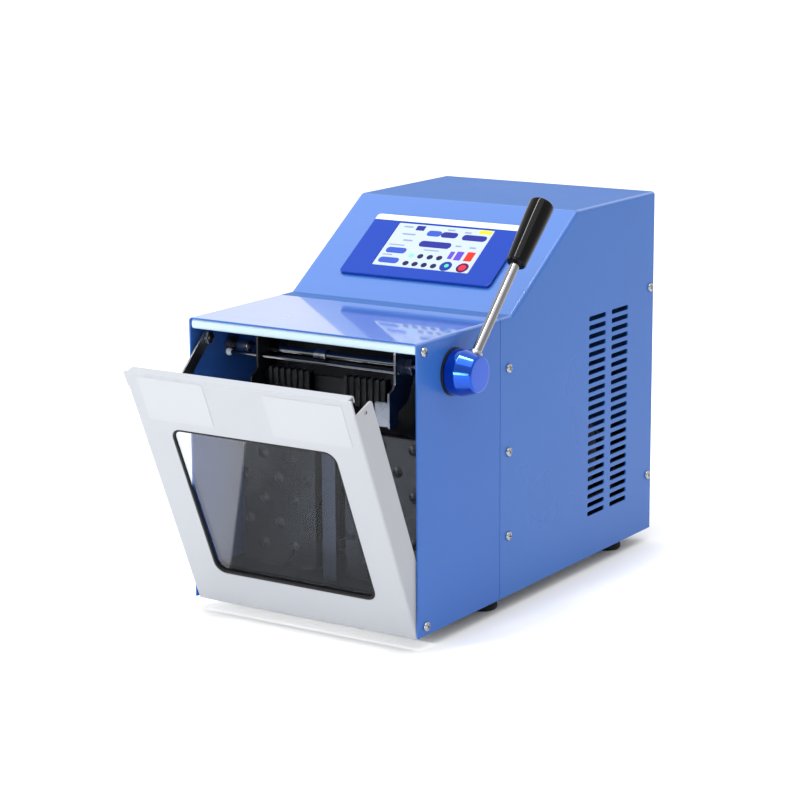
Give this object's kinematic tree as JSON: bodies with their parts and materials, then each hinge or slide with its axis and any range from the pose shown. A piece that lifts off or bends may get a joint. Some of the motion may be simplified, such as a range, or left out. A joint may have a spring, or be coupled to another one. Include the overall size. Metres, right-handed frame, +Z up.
{
  "type": "paddle blender homogenizer",
  "caption": "Bench paddle blender: blue sheet housing, white tilting door with window, side lever with bag clamp, beating paddles, sloping touch panel and vents.",
  "frame": {"origin": "on the bench plane under the middle of the whole machine as it stands with its door open", "axes": "+X to the machine's right, +Y from its front to its back, +Z up"},
  "size_m": [0.247, 0.4808, 0.3417],
  "materials": {
    "hood_paint": "high gloss blue powder coat",
    "cover_paint": "satin blue powder coat",
    "panel_steel": "plain sheet steel",
    "door_paint": "satin white powder coat",
    "polished_steel": "polished stainless steel",
    "zinc_steel": "bright zinc",
    "anodised_blue": "blue anodised, turned",
    "aluminium": "plain machined",
    "black_plastic": "fine grained black",
    "chamber_black": "smooth black lining",
    "grip_plastic": "polished black",
    "rubber": "moulded black",
    "pane": "clear pane",
    "gasket_rubber": "smooth black",
    "label_film": "blank laminated film",
    "bezel_film": "printed overlay",
    "screen": "lit display",
    "board": "circuit board",
    "lamp": "frosted diffuser",
    "bronze": "sintered bronze",
    "motor_paint": "satin black",
    "belt_rubber": "toothed belt",
    "rocker_red": "gloss red"
  },
  "bodies": {
    "root": {"front_hood": "hood_paint", "rear_cover": "cover_paint", "rear_panel": "cover_paint", "base_plate": "panel_steel", "light_rail": "lamp", "chamber_back": "chamber_black", "chamber_floor": "chamber_black", "centre_bar": "panel_steel", "touch_bezel": "bezel_film", "touch_screen": "screen", "display_board": "board", "side_screws": "zinc_steel", "pan_screws": "zinc_steel", "feet": "rubber", "hinge_pins": "polished_steel", "hub_washer": "black_plastic", "shaft_bushes": "bronze", "stay_pivot": "zinc_steel", "electronics_shelf": "panel_steel", "power_supply": "aluminium", "motor_controller": "aluminium", "drive_frame": "aluminium", "rod_bushes": "bronze", "rod_wipers": "rubber", "bearing_blocks": "aluminium", "shaft_bearings": "polished_steel", "motor_body": "motor_paint", "motor_mount": "aluminium", "drive_belt": "belt_rubber", "fan_frame": "black_plastic", "fan_guard": "polished_steel", "inlet_socket": "black_plastic", "switch_frame": "black_plastic"},
    "door": {"door_frame": "door_paint", "window_gasket": "gasket_rubber", "door_window": "pane", "blank_labels": "label_film", "flange_eyelets": "zinc_steel", "stay_pin": "zinc_steel"},
    "stay": {"door_stay": "zinc_steel"},
    "lever": {"lever_shaft": "polished_steel", "lever_hub": "anodised_blue", "lever_rod": "polished_steel", "lever_grip": "grip_plastic", "clamp_arms": "panel_steel", "clamp_bar": "panel_steel", "clamp_pads": "black_plastic", "bag_rod": "polished_steel", "shaft_collars": "zinc_steel", "arm_nuts": "zinc_steel"},
    "left_paddle": {"paddle_left": "chamber_black", "push_rods_left": "polished_steel"},
    "right_paddle": {"paddle_right": "chamber_black", "push_rods_right": "polished_steel"},
    "left_con_rod": {"con_rod_left": "aluminium"},
    "right_con_rod": {"con_rod_right": "aluminium"},
    "crank": {"crank_shaft": "polished_steel"},
    "motor": {"motor_rotor": "zinc_steel"},
    "fan": {"fan_rotor": "black_plastic"},
    "switch": {"rocker": "rocker_red"}
  },
  "joints": [
    {"name": "door_hinge", "type": "hinge", "parent": "root", "child": "door", "pos_m": [-0.01125, -0.14882, 0.0165], "axis": [1, 0, 0], "range_deg": [-23.25, 0]},
    {"name": "stay_swing", "type": "hinge", "parent": "root", "child": "stay", "pos_m": [-0.11575, -0.13772, 0.229], "axis": [1, 0, 0], "range_deg": [0, 48.89]},
    {"name": "lever_turn", "type": "hinge", "parent": "root", "child": "lever", "pos_m": [-0.01125, -0.10071, 0.217], "axis": [1, 0, 0], "range_deg": [-28, 80]},
    {"name": "paddle_left_slide", "type": "slide", "parent": "root", "child": "left_paddle", "axis": [0, 1, 0], "range_m": [-0.006, 0.006]},
    {"name": "paddle_right_slide", "type": "slide", "parent": "root", "child": "right_paddle", "axis": [0, 1, 0], "range_m": [-0.006, 0.006]},
    {"name": "con_rod_left_swing", "type": "hinge", "parent": "left_paddle", "child": "left_con_rod", "pos_m": [-0.06225, 0.04068, 0.1], "axis": [1, 0, 0], "range_deg": [-5.06, 5.06]},
    {"name": "con_rod_right_swing", "type": "hinge", "parent": "right_paddle", "child": "right_con_rod", "pos_m": [0.03975, 0.04068, 0.1], "axis": [1, 0, 0], "range_deg": [-5.06, 5.06]},
    {"name": "crank_turn", "type": "hinge", "parent": "root", "child": "crank", "pos_m": [-0.01125, 0.10869, 0.1], "axis": [1, 0, 0], "continuous": true},
    {"name": "motor_turn", "type": "hinge", "parent": "root", "child": "motor", "pos_m": [0.07875, 0.18368, 0.075], "axis": [1, 0, 0], "continuous": true},
    {"name": "fan_turn", "type": "hinge", "parent": "root", "child": "fan", "pos_m": [-0.01125, 0.22668, 0.255], "axis": [0, 1, 0], "continuous": true},
    {"name": "rocker_tip", "type": "hinge", "parent": "root", "child": "switch", "pos_m": [0.06875, 0.23019, 0.092], "axis": [1, 0, 0], "range_deg": [0, 16]}
  ],
  "couplings": [
    {"joint": "stay_swing", "follows": "door_hinge", "ratio": -2.1025},
    {"joint": "paddle_right_slide", "follows": "paddle_left_slide", "ratio": -1},
    {"joint": "con_rod_right_swing", "follows": "con_rod_left_swing", "ratio": -1},
    {"joint": "motor_turn", "follows": "crank_turn", "ratio": 2.6667}
  ]
}
